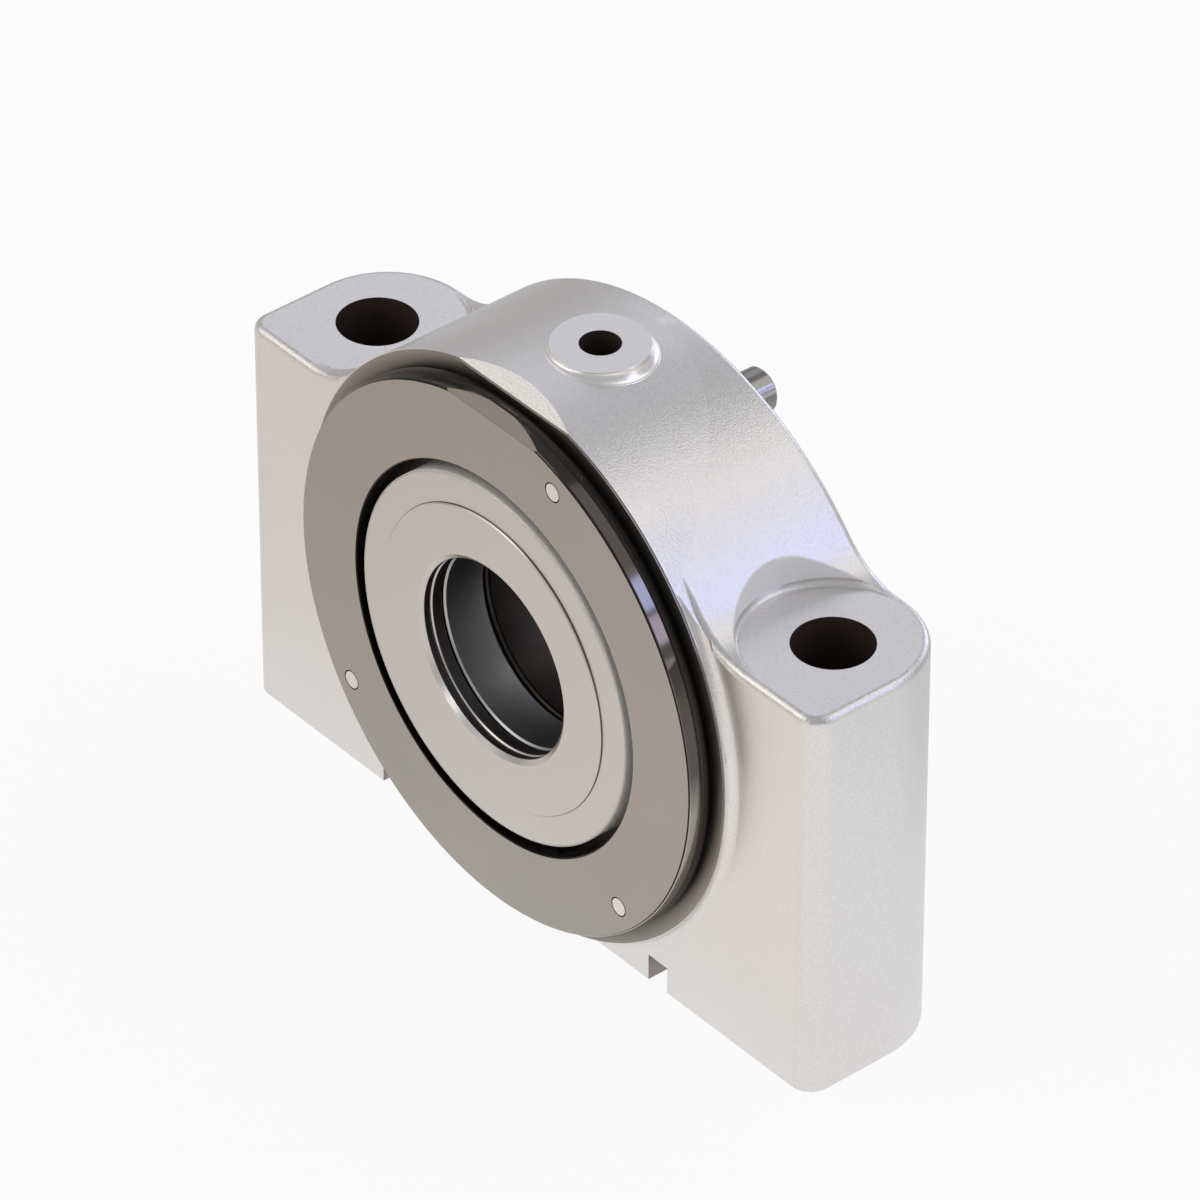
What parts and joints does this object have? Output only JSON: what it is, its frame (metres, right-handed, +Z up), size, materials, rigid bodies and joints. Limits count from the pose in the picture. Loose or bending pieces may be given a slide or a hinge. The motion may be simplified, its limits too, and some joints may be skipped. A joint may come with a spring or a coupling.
{
  "type": "pillow block housing",
  "caption": "Cast pillow block with two bolted feet, a grooved ring round the front, a sealed shaft bearing inside and a grease port on the crown.",
  "frame": {"origin": "middle of the base plane, straight under the shaft axis, on the line of the two bolt holes", "axes": "+X across the feet to the right seen from the front, +Y along the shaft from the front ring to the back, +Z up"},
  "size_m": [0.1816, 0.0565, 0.13],
  "materials": {
    "cast_body": "satin blasted casting, milled flat on the front, the feet and the crown boss",
    "dark_ring": "dark turned steel, fine grinding on the face",
    "ground_steel": "ground",
    "polished_steel": "polished",
    "bearing_steel": "ground",
    "cage_plastic": "moulded",
    "spring_steel": "dark oiled",
    "pressed_steel": "pressed, plain",
    "seal_rubber": "moulded, matt",
    "turned_steel": "fine turned",
    "sleeve_steel": "hardened and ground"
  },
  "bodies": {
    "block": {"housing": "cast_body", "grooved_ring": "dark_ring", "ring_pins": "ground_steel", "rear_pin": "polished_steel", "outer_race": "bearing_steel", "retaining_ring": "spring_steel", "front_seal_case": "pressed_steel", "front_seal_lip": "seal_rubber", "front_seal_spring": "spring_steel", "rear_seal_case": "pressed_steel", "rear_seal_lip": "seal_rubber", "rear_seal_spring": "spring_steel"},
    "rotor": {"hub_disc": "turned_steel", "hub_insert": "turned_steel", "locating_washer": "ground_steel", "front_sleeve": "sleeve_steel", "inner_race": "bearing_steel", "rear_sleeve": "sleeve_steel"},
    "front_row": {"front_balls": "polished_steel", "front_cage": "cage_plastic"},
    "rear_row": {"rear_balls": "polished_steel", "rear_cage": "cage_plastic"}
  },
  "joints": [
    {"name": "shaft_spin", "type": "hinge", "parent": "block", "child": "rotor", "pos_m": [0, 0, 0.0635], "axis": [0, 1, 0], "continuous": true},
    {"name": "front_row_spin", "type": "hinge", "parent": "block", "child": "front_row", "pos_m": [0, 0, 0.0635], "axis": [0, 1, 0], "continuous": true},
    {"name": "rear_row_spin", "type": "hinge", "parent": "block", "child": "rear_row", "pos_m": [0, 0, 0.0635], "axis": [0, 1, 0], "continuous": true}
  ],
  "couplings": [
    {"joint": "front_row_spin", "follows": "shaft_spin", "ratio": 0.4267},
    {"joint": "rear_row_spin", "follows": "shaft_spin", "ratio": 0.4267}
  ]
}
